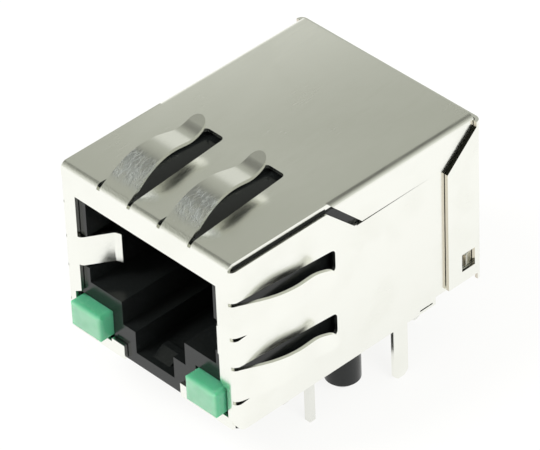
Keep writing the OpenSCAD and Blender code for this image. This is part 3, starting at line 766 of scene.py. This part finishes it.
class JACK_OT_finish_shields(bpy.types.Operator):
    """Finish the folded shield and its rear cover as tin plated sheet"""

    bl_idname = "jack.finish_shields"
    bl_label = "Finish shields"

    def execute(self, context):
        settings = context.scene.jack_shield
        material = plate_material(settings)
        shader = material.node_tree.nodes["Principled BSDF"]
        cut_edge(material.node_tree, shader, settings.cut, settings.gap)
        finish_nodes(["front_shield", "rear_shield"], material)
        return {"FINISHED"}


class JACK_OT_finish_mouldings(bpy.types.Operator):
    """Finish the housing, the contact insert and the pin block as glossy black mouldings"""

    bl_idname = "jack.finish_mouldings"
    bl_label = "Finish mouldings"

    def execute(self, context):
        material = plastic_material(context.scene.jack_plastic)
        finish_nodes(["housing", "contact_insert", "pin_block"], material)
        return {"FINISHED"}


class JACK_OT_finish_lamps(bpy.types.Operator):
    """Finish the two indicator lamps as milky green resin"""

    bl_idname = "jack.finish_lamps"
    bl_label = "Finish lamps"

    def execute(self, context):
        finish_nodes(["led_left", "led_right"], lamp_material(context.scene.jack_lamp))
        return {"FINISHED"}


class JACK_OT_finish_contacts(bpy.types.Operator):
    """Finish the eight spring contacts as gold plated wire"""

    bl_idname = "jack.finish_contacts"
    bl_label = "Finish contacts"

    def execute(self, context):
        gold = context.scene.jack_metal.gold
        finish_nodes(
            numbered("contact", 8),
            mottled_material(
                "gold_plating", gold, darker(gold, 0.8),
                roughness=0.18, metallic=1.0, scale=2500.0, amount=0.6, depth=0.001,
            ),
        )
        return {"FINISHED"}


class JACK_OT_finish_pins(bpy.types.Operator):
    """Finish the signal pins and the lamps' leads as tin plated wire"""

    bl_idname = "jack.finish_pins"
    bl_label = "Finish pins"

    def execute(self, context):
        tin = context.scene.jack_metal.tin
        finish_nodes(
            numbered("signal_pin", 8) + numbered("led_lead", 4),
            mottled_material(
                "tin_plating", tin, darker(tin, 0.85),
                roughness=0.2, metallic=1.0, scale=1800.0, amount=0.7, depth=0.002,
            ),
        )
        return {"FINISHED"}


class JACK_OT_finish_magnetics(bpy.types.Operator):
    """Finish the circuit board, the cores, their windings and the chip parts"""

    bl_idname = "jack.finish_magnetics"
    bl_label = "Finish magnetics"

    def execute(self, context):
        board = context.scene.jack_board
        wire_colour = context.scene.jack_metal.copper
        finish_nodes(["magnetics_board"], board_material(board))
        finish_nodes(
            numbered("toroid_core", 4),
            mottled_material(
                "ferrite", board.ferrite, (0.1, 0.1, 0.11),
                roughness=0.55, metallic=0.0, scale=5000.0, amount=0.8, depth=0.006,
            ),
        )
        finish_nodes(
            numbered("winding", 4),
            mottled_material(
                "enamelled_wire", wire_colour, (0.75, 0.4, 0.2),
                roughness=0.25, metallic=0.7, scale=2000.0, amount=0.6,
            ),
        )
        finish_nodes(
            ["hv_capacitor"],
            mottled_material(
                "ceramic", board.ceramic, (0.62, 0.5, 0.36),
                roughness=0.35, metallic=0.0, scale=3500.0, amount=0.8,
            ),
        )
        finish_nodes(
            numbered("resistor", 4),
            mottled_material(
                "chip_glaze", board.chip, (0.08, 0.08, 0.09),
                roughness=0.25, metallic=0.0, scale=3500.0, amount=0.6,
            ),
        )
        return {"FINISHED"}


class JACK_OT_build_stage(bpy.types.Operator):
    """Set up the pale floor, the surround, the soft lamps and the camera"""

    bl_idname = "jack.build_stage"
    bl_label = "Build stage"

    def execute(self, context):
        settings = context.scene.jack_stage
        surround(settings)
        half = FLOOR_SIZE / 2
        corners = [(-half, -half), (half, -half), (half, half), (-half, half)]
        mesh = bpy.data.meshes.new("floor")
        mesh.from_pydata([(x, y, PIN_TIP) for x, y in corners], [], [(0, 1, 2, 3)])
        floor = bpy.data.objects.new("floor", mesh)
        context.scene.collection.objects.link(floor)
        floor.data.materials.append(floor_material(settings))

        target = Vector(settings.target)
        for name, place, size, power in SOFT_LAMPS:
            soft_lamp(name, target + Vector(place), size, power, target)

        flat = math.cos(settings.elevation) * settings.distance
        away = Vector(
            (
                flat * math.sin(settings.azimuth),
                -flat * math.cos(settings.azimuth),
                settings.distance * math.sin(settings.elevation),
            )
        )
        data = bpy.data.cameras.new("camera")
        data.lens = settings.lens
        data.sensor_width = SENSOR_WIDTH
        data.clip_start, data.clip_end = CLIP_RANGE
        camera = bpy.data.objects.new("camera", data)
        camera.location = target + away
        camera.rotation_euler = aimed(camera.location, target, settings.roll)
        context.scene.collection.objects.link(camera)
        context.scene.camera = camera
        context.scene.view_settings.view_transform = "Standard"
        return {"FINISHED"}


OPERATORS = [
    JACK_OT_finish_shields,
    JACK_OT_finish_mouldings,
    JACK_OT_finish_lamps,
    JACK_OT_finish_contacts,
    JACK_OT_finish_pins,
    JACK_OT_finish_magnetics,
    JACK_OT_build_stage,
]


class JACK_PT_panel(bpy.types.Panel):
    """Lists the jack's operators and their settings"""

    bl_idname = "JACK_PT_panel"
    bl_label = "RJ45 board jack"
    bl_space_type = "VIEW_3D"
    bl_region_type = "UI"
    bl_category = "Jack"

    def draw(self, context):
        layout = self.layout
        for operator in OPERATORS:
            layout.operator(operator.bl_idname)
        for name, group in SETTINGS.items():
            box = layout.box()
            settings = getattr(context.scene, name)
            for key in group.__annotations__:
                box.prop(settings, key)


def register():
    for group in SETTINGS.values():
        bpy.utils.register_class(group)
    for name, group in SETTINGS.items():
        setattr(bpy.types.Scene, name, PointerProperty(type=group))
    for operator in OPERATORS:
        bpy.utils.register_class(operator)
    bpy.utils.register_class(JACK_PT_panel)


def unregister():
    bpy.utils.unregister_class(JACK_PT_panel)
    for operator in reversed(OPERATORS):
        bpy.utils.unregister_class(operator)
    for name, group in SETTINGS.items():
        delattr(bpy.types.Scene, name)
        bpy.utils.unregister_class(group)


def plain(box):
    return [[float(v) for v in corner] for corner in box]


def main():
    register()
    for operator in OPERATORS:
        area, name = operator.bl_idname.split(".")
        getattr(getattr(bpy.ops, area), name)()


if __name__ == "__main__":
    main()
